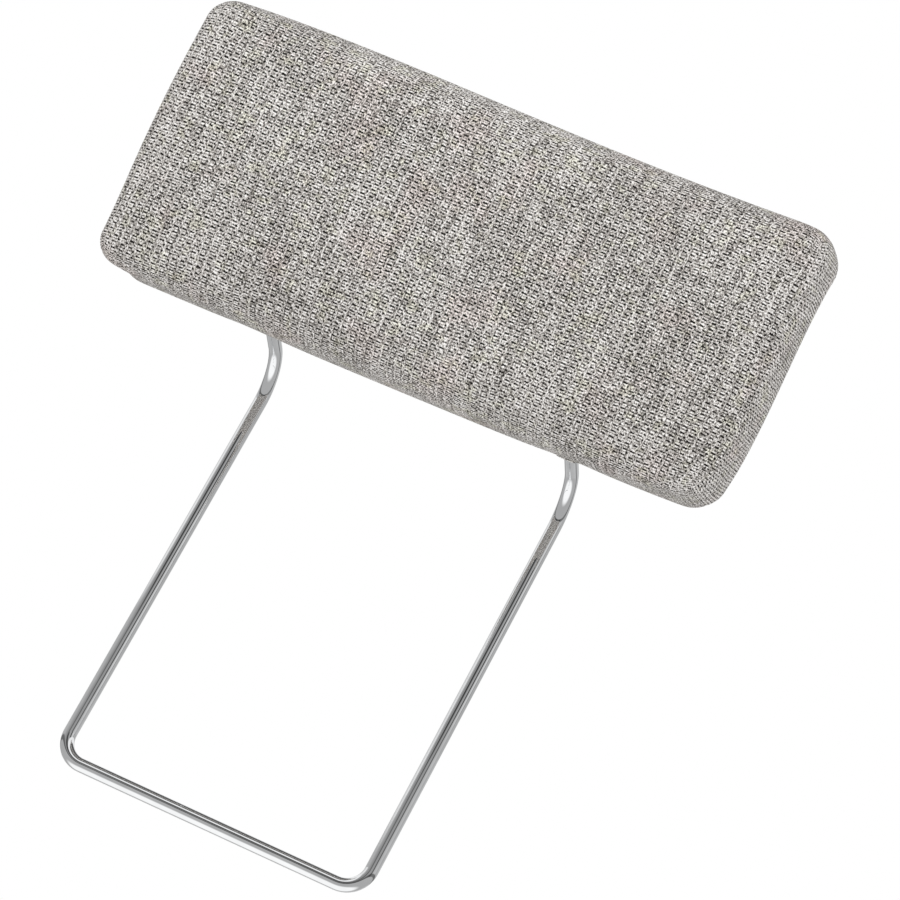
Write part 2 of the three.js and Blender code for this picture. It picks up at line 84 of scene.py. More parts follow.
# Dimple and rolled hem where the rod enters
DIMPLE_DEPTH = 1.5
DIMPLE_REACH = 10.0
HEM_RADIUS = 7.6
HEM_ROLL = 1.5
HEM_RISE = 1.2

# Zip in the lower back, in the cushion's frame
ZIP_Z = -83.5
ZIP_ROW_HALF = 210.0
ZIP_SLOT_HALF = 217.0
ZIP_SLOT_ROW = 4.5
SEAM_GAP = 0.1
ROW_FRONT = 54.4
ROW_BACK = 56.2
TOOTH_PITCH = 2.4
TOOTH_FIRST = 1.5
TOOTH_LAST = 1.2
TOOTH_LENGTHS = (0.45, 0.65, 1.2, 1.5, 2.7, 3.1)
TOOTH_RINGS = ((0.5, 0.7), (0.95, 1.0), (0.95, 1.0), (0.6, 0.9), (0.6, 0.9), (0.4, 0.6))
STITCH_PITCH = 4.0
STITCH_ROW = 8.0
STITCH_LENGTHS = (-1.5, -1.2, 0.0, 1.2, 1.5)
STITCH_RINGS = ((0.15, 0.15), (0.32, 0.32), (0.4, 0.4), (0.32, 0.32), (0.15, 0.15))
STITCH_PROUD = 0.1

# Bent rod
ROD_RADIUS = 6.0
FRAME_HALF = 143.0
LEG_HEIGHT = 360.0
FOOT_BEND_RADIUS = 22.0
FORWARD_BEND_RADIUS = 40.0
FORWARD_BEND = math.radians(85)
NECK_LENGTH = 26.0
UP_BEND_RADIUS = 24.0
ROD_RUN_LENGTH = 130.0

# Weave of the cover: the width and the height of one repeat
REPEAT_ALONG = 7.63
REPEAT_DOWN = 5.2

# Camera
CAMERA_PLACE = (0.870452, -2.881334, -0.738119)
CAMERA_RIGHT = Vector((0.888942, 0.083386, 0.450365))
CAMERA_DOWN = Vector((0.375378, 0.430772, -0.820687))
CAMERA_FORWARD = Vector((-0.262438, 0.898600, 0.351632))
CAMERA_LENS = 148.883

# Lamps: name, place, size and power
LAMPS = (
    ("key", (-0.9, -2.9, 1.6), 2.2, 16),
    ("side", (2.6, -1.2, 0.9), 2.2, 9),
    ("low", (0.6, -2.2, -1.0), 1.8, 6),
)
LAMP_TARGET = (0, -0.1, 0.4)
SOFT_LIGHT = 0.83

# Walls that the chrome shows: places round the horizon, from 0 to 1, and their brightness
HIGH_WALLS = (
    (0.0, 0.6), (0.19, 0.7), (0.24, 0.95), (0.315, 0.9), (0.33, 0.4), (0.378, 0.5),
    (0.39, 0.2), (0.402, 0.2), (0.416, 0.4), (0.436, 0.36), (0.447, 0.08), (0.483, 0.05), (0.514, 0.12),
    (0.53, 0.4), (0.59, 0.42), (0.602, 0.05), (0.634, 0.05), (0.648, 0.5), (0.7, 0.75), (0.733, 0.7),
    (0.755, 0.3), (0.772, 0.3), (0.789, 0.55), (0.861, 0.45), (1.0, 0.6),
)
LOW_WALLS = (
    (0.0, 0.55), (0.3, 0.5), (0.4, 0.36), (0.44, 0.3), (0.465, 0.15), (0.49, 0.15), (0.505, 0.36),
    (0.575, 0.36), (0.59, 0.12), (0.62, 0.12), (0.64, 0.5), (0.73, 0.6), (0.8, 0.45), (0.847, 0.55),
    (1.0, 0.6),
)

# Floor, in metres, and where it fades out, in millimetres from the middle
FLOOR_REACH = 2.0
FLOOR_Z = -0.0065
FLOOR_FADE = (500, 1900)


# Node trees

class Value:
    """A socket that ordinary arithmetic works on."""

    def __init__(self, tree, socket):
        self.tree = tree
        self.socket = socket

    def math(self, operation, *others):
        values = dict(enumerate((self, *others)))
        return self.tree.value("Math", {"operation": operation}, values)

    def __add__(self, other):
        return self.math("ADD", other)

    def __sub__(self, other):
        return self.math("SUBTRACT", other)

    def __mul__(self, other):
        return self.math("MULTIPLY", other)

    def __truediv__(self, other):
        return self.math("DIVIDE", other)

    def __pow__(self, other):
        return self.math("POWER", other)

    def __neg__(self):
        return self * -1

    def __rsub__(self, other):
        return -self + other

    def __abs__(self):
        return self.math("ABSOLUTE")

    def __floor__(self):
        return self.math("FLOOR")

    def ramp(self, low, high, start=0.0, end=1.0):
        """Goes smoothly from start to end as the value goes from low to high."""
        names = ("Value", "From Min", "From Max", "To Min", "To Max")
        inputs = dict(zip(names, (self, low, high, start, end)))
        return self.tree.value("MapRange", {"interpolation_type": "SMOOTHSTEP"}, inputs, "Result")


class Tree:
    """The nodes of a material or a world."""

    def __init__(self, owner):
        owner.use_nodes = True
        self.nodes = owner.node_tree.nodes
        self.links = owner.node_tree.links
        self.nodes.clear()

    def node(self, kind, settings=None, inputs=None):
        node = self.nodes.new("ShaderNode" + kind)
        for name, value in (settings or {}).items():
            if name == "stops":
                self.set_stops(node.color_ramp, value)
            else:
                setattr(node, name, value)
        for key, value in (inputs or {}).items():
            if isinstance(value, Value):
                self.links.new(value.socket, node.inputs[key])
            else:
                node.inputs[key].default_value = value
        return node

    def value(self, kind, settings=None, inputs=None, output=0):
        return Value(self, self.node(kind, settings, inputs).outputs[output])

    @staticmethod
    def set_stops(color_ramp, stops):
        while len(color_ramp.elements) < len(stops):
            color_ramp.elements.new(1.0)
        for element, (place, color) in zip(color_ramp.elements, stops):
            element.position = place
            element.color = (*color, 1.0)

    def vector(self, x, y, z=0.0):
        return self.value("CombineXYZ", None, {"X": x, "Y": y, "Z": z})

    def noise(self, x, y, z=0.0, detail=2.0, roughness=0.5):
        inputs = {"Vector": self.vector(x, y, z), "Scale": 1.0, "Detail": detail, "Roughness": roughness}
        return self.value("TexNoise", None, inputs)

    def randoms(self, x, y):
        """Three random numbers that stay the same all over one cell."""
        cell = self.node("TexWhiteNoise", {"noise_dimensions": "2D"}, {"Vector": self.vector(x, y)})
        return self.split(Value(self, cell.outputs["Color"]))

    def split(self, vector):
        parts = self.node("SeparateXYZ", None, {"Vector": vector})
        return [Value(self, socket) for socket in parts.outputs]

    def colors(self, value, stops):
        return self.value("ValToRGB", {"stops": stops}, {"Fac": value})

    def greys(self, value, stops):
        return self.colors(value, [(place, (level, level, level)) for place, level in stops])

    def mix(self, factor, first, second, blend="MIX"):
        settings = {"data_type": "RGBA", "blend_type": blend}
        return self.value("Mix", settings, {0: factor, 6: first, 7: second}, 2)

    def bump(self, height, strength, distance):
        inputs = {"Height": height, "Strength": strength, "Distance": distance}
        return self.value("Bump", None, inputs)

    def surface(self, **inputs):
        named = {name.replace("_", " ").title(): value for name, value in inputs.items()}
        named = {name.replace("Ior", "IOR"): value for name, value in named.items()}
        shader = self.value("BsdfPrincipled", None, named)
        self.node("OutputMaterial", None, {"Surface": shader})


def finish(name):
    material = bpy.data.materials.new(name)
    return material, Tree(material)


def tone(level, warmth=0.0):
    """Linear colour of a grey that shows at this level of 255, a little warmer or cooler."""
    return tuple((max(0.0, level + shift) / 255) ** 2.2 for shift in (warmth, 0.0, -warmth))


def opaque(color):
    return (*color, 1.0)


def plain_grey(level):
    return opaque((level, level, level))


def cloth_places(tree):
    """The place on the cloth in millimetres: along a row of stitches, and from row to row."""
    cloth = tree.value("Attribute", {"attribute_name": "cloth"}, None, "Vector")
    along, down, _ = tree.split(cloth)
    return along, down


def spot(x, z, half_x, half_z):
    """One inside a small oval round the middle, with a soft edge, and zero outside."""
    across = x / half_x
    upright = z / half_z
    return (across * across + upright * upright).ramp(1.7, 0.1)


def woven_cover():
    """Light rungs between soft upright ribs, with painted shade in a slit and a hole of every repeat, and
    painted highlights on the threads.
    """
    material, tree = finish("woven_cover")
    # Which repeat of the weave this is, and the place in it
    along, down = cloth_places(tree)
    sway = tree.noise(along / 24, down / 34, 0.5, 1.0) - 0.5
    drift = tree.noise(along / 34, down / 24, 3.5, 1.0) - 0.5
    place = (along + sway * 4.5) / REPEAT_ALONG
    row = (down + drift * 4.5) / REPEAT_DOWN
    rib, rung = math.floor(place), math.floor(row)
    length, depth, shade = tree.randoms(rib + 0.5, rung + 0.5)
    x = (place - rib - 0.5) * REPEAT_ALONG + 1.1 + (shade - 0.5) * 0.5
    z = (row - rung - 0.5) * REPEAT_DOWN + (length - 0.5) * 0.4
    between = math.floor(row + 0.5)
    size, hollow, tilt = tree.randoms(rib + 0.5, between + 30.5)
    low_x = x + (tilt - 0.5) * 0.6
    low_z = (row - between) * REPEAT_DOWN + (size - 0.5) * 0.4
    # Painted shade in the gaps and hollows between the threads, which sink in the bump too
    open_weave = tree.noise(along / 8, down / 30, 7.5, 2.0).ramp(0.3, 0.62, 0.6, 1.1)
    slit = spot(x + 1.0, z - 0.05, length * 0.5 + 0.8, 0.8)
    slit = slit.math("MAXIMUM", spot(x - 0.85, z + 0.1, 1.15, 0.7))
    slit = slit * (depth * 0.6 + 0.6) * open_weave
    hole = spot(low_x - 3.1, low_z, size * 0.4 + 0.7, 0.85) * (hollow * 0.8 + 0.4)
    parting = spot(x, low_z, 2.6, 0.55) * (hollow * 0.6 + 0.1)
    dimple = spot(x - 4.1, z, 1.0, 0.75) * depth
    streak = tree.noise(along / 5, down / 22, 9.5, 1.0).ramp(0.48, 0.68, 0.12, 1.0)
    thread = (abs(x - 2.3) / 0.5).ramp(1.0, 0.0) * streak
    thread = thread + (abs(x + 1.9) / 0.5).ramp(1.0, 0.0) * (streak * 0.6 + 0.1)
    shaded_gaps = slit * 1.2 + hole * 1.0 + parting * 0.55 + dimple * 0.37 + thread * 0.48
    # Painted highlights on the raised threads, their fibres, and slow changes along the yarn and over the
    # cloth
    highlit_crests = spot(x - 0.2, abs(z) - 1.35, 2.1, 0.7) * shade + spot(x - 4.6, z + 1.4, 1.2, 1.0) * tilt
    fibre = tree.noise(along / 0.6, down / 0.8, 2.5, 1.0) - 0.5
    ply = tree.noise(along / 0.9, down / 2.4, 6.5, 1.0) - 0.5
    slub = tree.noise(along / 3.0, down / 34, 8.5, 2.0, 0.6) - 0.5
    cloud = tree.noise(along / 62, down / 70, 4.5, 4.0, 0.6) - 0.5
    level = 0.65 - shaded_gaps + highlit_crests * 0.33 + fibre * 2.0 + ply * 1.2 + slub * 0.42 + cloud * 0.3
    grey = tree.colors(level, [
        (0.0, tone(30, 2)),
        (0.2, tone(75, 3)),
        (0.4, tone(120, 4)),
        (0.6, tone(165, 5)),
        (0.8, tone(210, 4)),
        (1.0, tone(252, 2)),
    ])
    # Faint pink and green patches
    blush = tree.noise(along / 34, down / 40, 11.5, 2.0).ramp(0.5, 0.75)
    moss = tree.noise(along / 13, down / 11, 17.5, 2.0).ramp(0.52, 0.72)
    grey = tree.mix(blush, grey, opaque((1.03, 0.975, 0.97)), "MULTIPLY")
    grey = tree.mix(moss, grey, opaque((1.0, 1.01, 0.92)), "MULTIPLY")
    height = highlit_crests * 0.5 - shaded_gaps * 1.8 + fibre * 0.8
    tree.surface(
        base_color=grey,
        roughness=fibre * 0.2 + 0.88,
        specular_ior_level=0.2,
        normal=tree.bump(height, 0.35, 0.0006),
    )
    return material


def object_places(tree):
    """The place in the part's own frame, in millimetres."""
    places = tree.value("TexCoord", None, None, "Object")
    return [part * 1000 for part in tree.split(places)]


def polished_chrome():
    material, tree = finish("polished_chrome")
    x, y, z = object_places(tree)
    haze = tree.noise(x / 14, z / 14, y / 14, 3.0)
    tree.surface(
        base_color=tree.colors(haze, [(0.3, tone(228, -1)), (0.7, tone(236, -1))]),
        metallic=1.0,
        roughness=haze * 0.04 + 0.01,
    )
    return material


def plated_steel():
    material, tree = finish("plated_steel")
    x, y, z = object_places(tree)
    grain = tree.noise(x / 0.9, z / 0.9, y / 0.9, 3.0)
    tree.surface(
        base_color=tree.colors(grain, [(0.3, tone(150, -1)), (0.7, tone(186, -1))]),
        metallic=1.0,
        roughness=grain * 0.2 + 0.2,
        normal=tree.bump(grain, 0.15, 0.0002),
    )
    return material


def raw_plywood():
    material, tree = finish("raw_plywood")
    x, y, z = object_places(tree)
    grain = tree.noise(x / 60, z / 3, y / 3, 4.0, 0.6)
    tree.surface(
        base_color=tree.colors(grain, [(0.3, (0.42, 0.28, 0.14)), (0.7, (0.66, 0.49, 0.29))]),
        roughness=grain * 0.2 + 0.65,
        normal=tree.bump(grain, 0.3, 0.0004),
    )
    return material


def zip_tape_cloth():
    material, tree = finish("zip_tape_cloth")
    along, _, down = object_places(tree)
    ribs = (along * (math.tau / 0.8)).math("SINE") * (down * (math.tau / 1.1)).math("SINE")
    fibre = tree.noise(along / 0.5, down / 0.5, 0.5, 2.0)
    tree.surface(
        base_color=tree.colors(ribs * 0.25 + fibre, [(0.2, tone(72, 2)), (0.8, tone(132, 3))]),
        roughness=fibre * 0.2 + 0.8,
        normal=tree.bump(ribs, 0.4, 0.0002),
    )
    return material


def zip_nylon():
    material, tree = finish("zip_nylon")
    x, y, z = object_places(tree)
    mottle = tree.noise(x / 2, z / 2, y / 2, 2.0)
    tree.surface(
        base_color=tree.colors(mottle, [(0.3, tone(88, 1)), (0.7, tone(112, 1))]),
        roughness=mottle * 0.15 + 0.35,
    )
    return material


# Mesh tools

def new_piece(name, vertices, faces, material):
    mesh = bpy.data.meshes.new(name)
    mesh.from_pydata([tuple(v) for v in vertices], [], faces)
    if material:
        mesh.materials.append(material)
    mesh.shade_smooth()
    piece = bpy.data.objects.new(name, mesh)
    bpy.context.collection.objects.link(piece)
    return piece


def apply_modifiers(piece):
    graph = bpy.context.evaluated_depsgraph_get()
    final = piece.evaluated_get(graph)
    mesh = bpy.data.meshes.new_from_object(final, preserve_all_data_layers=True, depsgraph=graph)
    piece.modifiers.clear()
    piece.data = mesh
    mesh.name = piece.name


def to_part(places):
    """Vertices in the cushion's frame in millimetres, moved to the part's frame in metres."""
    return [CUSHION_FRAME @ (Vector(place) * MM) for place in np.reshape(places, (-1, 3))]


def set_cloth(mesh, places):
    attribute = mesh.attributes.new("cloth", "FLOAT_VECTOR", "POINT")
    attribute.data.foreach_set("vector", np.asarray(places, np.float32).ravel())


def grid_faces(rows, columns):
    """Quads of a grid that closes on itself both ways."""
    faces = []
    for i in range(rows):
        for j in range(columns):
            k, m = (i + 1) % rows, (j + 1) % columns
            faces.append((i * columns + j, k * columns + j, k * columns + m, i * columns + m))
    return faces


# Cushion

def lattice_line(cells):
    """Where the lattice lines of one direction fall: along the flat part, and tilted round the edge."""
    value = np.linspace(-1, 1, cells + 1)
    flat = 1 - 2 * EDGE_STEPS / cells
    turn = np.clip((abs(value) - flat) / (1 - flat), 0, None)
    return np.clip(value / flat, -1, 1), np.sign(value) * np.tan(turn * math.pi / 4)


def lattice_skin():
    """The corners of a block's outer lattice, its quads, and the axis that each quad faces along."""
    corners = {}
    quads = []
    axes = []
    for axis in range(3):
        one, two = (axis + 1) % 3, (axis + 2) % 3
        for side in (0, CELLS[axis]):
            for i in range(CELLS[one]):
                for j in range(CELLS[two]):
                    ring = []
                    for di, dj in ((0, 0), (1, 0), (1, 1), (0, 1)):
                        key = [0, 0, 0]
                        key[axis], key[one], key[two] = side, i + di, j + dj
                        ring.append(corners.setdefault(tuple(key), len(corners)))
                    quads.append(ring if side else ring[::-1])
                    axes.append(axis)
    return np.array(list(corners)), np.array(quads), np.array(axes)


def crowned(keys):
    """The cushion's rounded block, crowned in front and a little askew, as it sits on its rod."""
    lines = [lattice_line(cells) for cells in CELLS]
    along = np.stack([lines[axis][0][keys[:, axis]] for axis in range(3)], -1)
    tilt = np.stack([lines[axis][1][keys[:, axis]] for axis in range(3)], -1)
    out = tilt / np.linalg.norm(tilt, axis=1)[:, None]
    place = along * (HALF - EDGE_RADIUS) + out * EDGE_RADIUS
    a, b, c = (place / HALF).T
    right, left, top, bottom = np.maximum(a, 0), np.maximum(-a, 0), np.maximum(c, 0), np.maximum(-c, 0)
    toward = {"right": right, "left": left, "top": top, "bottom": bottom}
    across, upright, depthwise = 1 - a * a, 1 - c * c, 1 - b * b
    x, y, z = place.T
    bow = END_BOW * depthwise
    x = x + upright * (right * (RIGHT_BOW + bow) - left * (LEFT_BOW + bow))
    x = x + END_SLANT * c * (right ** 3 + left ** 3)
    y = y - FRONT_CROWN * np.maximum(-b, 0) * across * upright
    z = z + across * (top - bottom) * (EDGE_BOW * depthwise - EDGE_SAG)
    z = z + a * (BOTTOM_SLANT * bottom - TOP_SLANT * top)
    for side, level, sharpness, pull_x, pull_z, swell_x, swell_z in CORNERS:
        near = (toward[side] * toward[level]) ** sharpness
        x = x + near * (pull_x + swell_x * depthwise)
        z = z + near * (pull_z + swell_z * depthwise)
    return np.stack([x, y, z], -1)


def facing(places, quads):
    """The outward direction at every corner."""
    across = places[quads[:, 2]] - places[quads[:, 0]]
    other = places[quads[:, 3]] - places[quads[:, 1]]
    normals = np.zeros_like(places)
    for corner in range(4):
        np.add.at(normals, quads[:, corner], np.cross(across, other))
    return normals / np.linalg.norm(normals, axis=1)[:, None]


def zip_rows():
    """The two lattice rows of the back that become the lips of the zip."""
    flat, _ = lattice_line(CELLS[2])
    heights = flat * (HALF[2] - EDGE_RADIUS)
    low = int(np.argmin(abs(heights - (ZIP_Z - ZIP_SLOT_ROW))))
    return low, low + 1


def part_for_zip(keys, places):
    """Opens the back for the zip, and closes the cover to a plain seam beyond the zip's ends."""
    places = places.copy()
    for row, side in zip(zip_rows(), (-1, 1)):
        lip = (keys[:, 1] == CELLS[1]) & (keys[:, 2] == row)
        gap = np.where(abs(places[lip, 0]) < ZIP_SLOT_HALF, ZIP_SLOT_ROW, SEAM_GAP)
        places[lip, 2] = ZIP_Z + side * gap
    return places


def surface_lengths(keys):
    """How far each corner is from the middle of its face, measured on the cloth, along each axis."""
    lengths = []
    for axis, cells in enumerate(CELLS):
        flat, tilt = lattice_line(cells)
        lengths.append(flat * (HALF[axis] - EDGE_RADIUS) + EDGE_RADIUS * np.arctan(tilt))
    return [lengths[axis][keys[:, axis]] for axis in range(3)], [line[-1] for line in lengths]


def cloth_lengths(keys, places, is_end):
    """Place on the cloth: along the rows of the weave, and round the cushion across them."""
    (x, y, z), (half_x, half_y, half_z) = surface_lengths(keys)
    if is_end:
        return np.stack([np.sign(x) * (half_x + half_y + y), z, 0 * z], -1)
    rear = keys[:, 1] == CELLS[1]
    z = np.where(rear & np.isin(keys[:, 2], zip_rows()), places[:, 2], z)
    rear_low = rear & (keys[:, 2] <= zip_rows()[0])
    rear_high = rear & (keys[:, 2] >= zip_rows()[1])
    down = np.where(keys[:, 2] == CELLS[2], z + y + half_y, z)
    down = np.where(keys[:, 2] == 0, z - y - half_y, down)
    down = np.where(rear_low, -2 * (half_z + half_y) - z, down)
    down = np.where(rear_high, 2 * (half_z + half_y) - z, down)
    return np.stack([x, down, 0 * z], -1)


def border_edges(quads):
    """The edges that only one quad uses, each in that quad's direction."""
    edges = np.vstack([quads[:, [i, (i + 1) % 4]] for i in range(4)])
    seen = {tuple(edge) for edge in edges.tolist()}
    return np.array([edge for edge in seen if edge[::-1] not in seen])


def cover_panel(name, is_end, keys, places, outward, quads, material):
    """One panel of the cover, its raw edges tucked into the seams."""
    used, quads = np.unique(quads, return_inverse=True)
    quads = quads.reshape(-1, 4)
    keys, places, outward = keys[used], places[used], outward[used]
    cloth = cloth_lengths(keys, places, is_end)
    edges = border_edges(quads)
    border = np.unique(edges)
    tucked = {corner: len(used) + i for i, corner in enumerate(border)}
    places = np.vstack([places, places[border] - outward[border] * SEAM_TUCK])
    cloth = np.vstack([cloth, cloth[border]])
    strips = [(b, a, tucked[a], tucked[b]) for a, b in edges]
    panel = new_piece(name, to_part(places), quads.tolist() + strips, material)
    set_cloth(panel.data, cloth)
    subdivision = panel.modifiers.new("subdivision", "SUBSURF")
    subdivision.levels = subdivision.render_levels = 1
    apply_modifiers(panel)
    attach(panel, "headrest")
    return panel


def inflated(keys, places, quads, outward):
    """Lets the cover swell under a little air, held at its seams, along the zip and round the rods."""
    ends = np.isin(keys[:, 0], (0, CELLS[0]))
    rims = np.isin(keys[:, 1], (0, CELLS[1])) | np.isin(keys[:, 2], (0, CELLS[2]))
    lips = (keys[:, 1] == CELLS[1]) & np.isin(keys[:, 2], zip_rows())
    at_rods = (keys[:, 2] == 0) & (from_rods(places) < HELD_ROUND_ROD)
    at_corners = np.all((keys < EDGE_STEPS) | (keys > np.array(CELLS) - EDGE_STEPS), axis=1)
    held = np.flatnonzero((ends & rims) | lips | at_rods | at_corners)
    from_held = np.min(np.linalg.norm(places[:, None] - places[held][None, ::3], axis=2), axis=1)
    start = places - outward * (BLANK_INSET * np.clip(from_held / INSET_FADE, 0, 1))[:, None]
    blank = new_piece("cover_blank", start * MM, quads.tolist(), None)
    blank.vertex_groups.new(name="held").add(held.tolist(), 1.0, "REPLACE")
    cloth = blank.modifiers.new("cloth", "CLOTH")
    cloth.settings.quality = 6
    cloth.settings.mass = CLOTH_MASS
    cloth.settings.vertex_group_mass = "held"
    cloth.settings.use_pressure = True
    cloth.settings.uniform_pressure_force = AIR_PRESSURE
    cloth.settings.effector_weights.gravity = 0
    scene = bpy.context.scene
    for number in range(1, LAST_FRAME + 1):
        scene.frame_set(number)
    graph = bpy.context.evaluated_depsgraph_get()
    swollen = np.empty(len(places) * 3)
    blank.evaluated_get(graph).data.vertices.foreach_get("co", swollen)
    scene.frame_set(1)
    bpy.data.objects.remove(blank)
    move = swollen.reshape(-1, 3) / MM - start
    length = np.linalg.norm(move, axis=1) + 1e-9
    return start + move * (MOST_SWELL * np.tanh(length / MOST_SWELL) / length)[:, None]


def from_rods(places):
    """How far each corner is from the line of the nearer rod end."""
    return np.hypot(abs(places[:, 0]) - FRAME_HALF, places[:, 1] - ROD_DEPTH)


def dimple_at_rods(places):
    """Draws the bottom of the cover in a little where the rod enters."""
    under = places[:, 2] < 0
    places[:, 2] += under * DIMPLE_DEPTH * np.exp(-(from_rods(places) / DIMPLE_REACH) ** 2)
    return places


def build_hems(cloth):
    """A rolled hem round each rod, where the cover is cut for it."""
    around_rod, around_roll = 32, 12
    turns = np.linspace(0, math.tau, around_rod, endpoint=False)
    rolls = np.linspace(0, math.tau, around_roll, endpoint=False)
    turn, roll = np.meshgrid(turns, rolls, indexing="ij")
    reach = HEM_RADIUS + HEM_ROLL * np.cos(roll)
    faces = grid_faces(around_rod, around_roll)
    for name, side in (("rod_hem_left", -1), ("rod_hem_right", 1)):
        x = side * FRAME_HALF + reach * np.cos(turn)
        y = ROD_DEPTH + reach * np.sin(turn)
        z = HEM_RISE - HALF[2] + HEM_ROLL * np.sin(roll)
        hem = new_piece(name, to_part(np.stack([x, y, z], -1)), faces, cloth)
        lengths = [turn * HEM_RADIUS, roll * HEM_ROLL, 0 * turn]
        set_cloth(hem.data, np.stack(lengths, -1).reshape(-1, 3))
        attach(hem, "headrest")


def spindles(places, lengths, thickness, rings, around=8):
    """Round bars along one direction, one at each place, with the given half widths at their rings."""
    turn = np.linspace(0, math.tau, around, endpoint=False)
    vertices = []
    faces = []
    for place in places:
        first = len(vertices)
        for at, (half_x, half_y) in zip(lengths, rings):
            for angle in turn:
                offset = np.array([half_x * math.cos(angle), half_y * thickness * math.sin(angle), at])
                vertices.append(place + offset)
        for ring in range(len(rings) - 1):
            for i in range(around):
                low, high = first + ring * around, first + (ring + 1) * around
                j = (i + 1) % around
                faces.append((low + i, low + j, high + j, high + i))
        faces.append([first + i for i in range(around)][::-1])
        last = first + (len(rings) - 1) * around
        faces.append([last + i for i in range(around)])
    return np.array(vertices), faces


def build_zip_teeth(nylon):
    """Two staggered rows of teeth in place of the plain ones, with room between for the slider's wedge."""
    depth = (ROW_FRONT + ROW_BACK) / 2
    thickness = (ROW_BACK - ROW_FRONT) / 2
    for name, node, side, shift in (
        ("zip_teeth_run_upper", "zip_teeth_upper", 1, 0.0),
        ("zip_teeth_run_lower", "zip_teeth_lower", -1, TOOTH_PITCH / 2),
    ):
        columns = np.arange(TOOTH_FIRST - ZIP_ROW_HALF + shift, ZIP_ROW_HALF - TOOTH_LAST, TOOTH_PITCH)
        places = [np.array([column, depth, 0.0]) for column in columns]
        vertices, faces = spindles(places, TOOTH_LENGTHS, thickness, TOOTH_RINGS)
        x, y, z = vertices.T
        if side < 0:
            faces = [face[::-1] for face in faces]
        teeth = new_piece(name, to_part(np.stack([x, y, ZIP_Z + side * z], -1)), faces, nylon)
        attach(teeth, "headrest")
        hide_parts(node)


def build_zip_stitches(thread):
    """A row of stitches along each lip of the zip."""
    columns = np.arange(-ZIP_SLOT_HALF, ZIP_SLOT_HALF + 1, STITCH_PITCH)
    places = [np.array([0.0, 0.0, column]) for column in columns]
    vertices, faces = spindles(places, STITCH_LENGTHS, 1.0, STITCH_RINGS, 6)
    z, y, x = vertices.T
    faces = [face[::-1] for face in faces]
    for name, side in (("zip_stitches_upper", 1), ("zip_stitches_lower", -1)):
        depth = HALF[1] + STITCH_PROUD + y
        stitched = to_part(np.stack([x, depth, ZIP_Z + side * STITCH_ROW + z], -1))
        stitches = new_piece(name, stitched, faces, thread)
        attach(stitches, "headrest")


def build_cover(cloth):
    keys, quads, axes = lattice_skin()
    places = dimple_at_rods(crowned(keys))
    outward = facing(places, quads)
    places = inflated(keys, places, quads, outward)
    places = part_for_zip(keys, places)
    low, high = zip_rows()
    columns, depths, rows = np.moveaxis(keys[quads], -1, 0)
    open_row = (depths.min(axis=1) == CELLS[1]) & (rows.min(axis=1) == low) & (rows.max(axis=1) == high)
    right_half = columns.max(axis=1) > 0
    wrap_quads = (axes > 0) & ~open_row
    end_quads = axes == 0
    wrap = cover_panel("cover_wrap", False, keys, places, outward, quads[wrap_quads], cloth)
    left = cover_panel("cover_end_left", True, keys, places, outward, quads[end_quads & ~right_half], cloth)
    right = cover_panel("cover_end_right", True, keys, places, outward, quads[end_quads & right_half], cloth)
    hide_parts("cover_wrap_panel", "wadding_wrap", "foam_core", "rear_foam_pad")
    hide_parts("cover_end_panel_left")
    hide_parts("cover_end_panel_right")


# Rod

def arc(centre, start, end, radius, toward, steps=20):
    """Points on a bend: toward gives the direction from the centre at an angle."""
    return [centre + radius * toward(angle) for angle in np.linspace(start, end, steps + 1)]


def outward_foot(angle):
    """Direction from the centre of a foot bend: down at zero, then turning outward."""
    return np.array([math.sin(angle), 0, -math.cos(angle)])


def rearward(angle):
    """Direction from the centre of the forward bend: to the back at zero, then turning up."""
    return np.array([0, math.cos(angle), math.sin(angle)])


def rod_path():
    foot = np.array([FRAME_HALF - FOOT_BEND_RADIUS, 0, FOOT_BEND_RADIUS])
    half = arc(foot, 0, math.pi / 2, FOOT_BEND_RADIUS, outward_foot)
    centre = np.array([FRAME_HALF, -FORWARD_BEND_RADIUS, LEG_HEIGHT])
    half += arc(centre, 0, FORWARD_BEND, FORWARD_BEND_RADIUS, rearward)
    neck = half[-1] + NECK_LENGTH * np.array([0, -math.sin(FORWARD_BEND), math.cos(FORWARD_BEND)])
    # The rod bends back up round a centre above the neck, so that radius counts the other way
    centre = neck + UP_BEND_RADIUS * rearward(FORWARD_BEND)
    half += arc(centre, FORWARD_BEND, LEAN, -UP_BEND_RADIUS, rearward)
    half.append(half[-1] + ROD_RUN_LENGTH * np.array([0, -math.sin(LEAN), math.cos(LEAN)]))
    mirrored = [point * np.array([-1, 1, 1]) for point in reversed(half)]
    return np.array(mirrored + half)


def tube(path, radius, sides=40):
    """Vertices and faces of a round tube along a path, closed at both ends."""
    steps = np.diff(path, axis=0)
    steps /= np.linalg.norm(steps, axis=1)[:, None]
    tangents = np.vstack([steps[:1], steps[1:] + steps[:-1], steps[-1:]])
    tangents /= np.linalg.norm(tangents, axis=1)[:, None]
    side = np.array([1.0, 0.0, 0.0])
    rings = []
    for point, tangent in zip(path, tangents):
        side = side - tangent * (side @ tangent)
        side /= np.linalg.norm(side)
        other = np.cross(tangent, side)
        turns = np.linspace(0, math.tau, sides, endpoint=False)
        rings.append(point + radius * (np.outer(np.cos(turns), side) + np.outer(np.sin(turns), other)))
    faces = []
    for ring in range(len(path) - 1):
        for i in range(sides):
            j = (i + 1) % sides
            low, high = ring * sides, (ring + 1) * sides
            faces.append((low + i, low + j, high + j, high + i))
    faces.append(tuple(range(sides))[::-1])
    last = (len(path) - 1) * sides
    faces.append(tuple(range(last, last + sides)))
    return np.vstack(rings), faces


def build_rod(chrome):
    vertices, faces = tube(rod_path(), ROD_RADIUS)
    rod = new_piece("bent_rod", vertices * MM, faces, chrome)
    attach(rod, "headrest")
    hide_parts("frame_rod")


# Stage

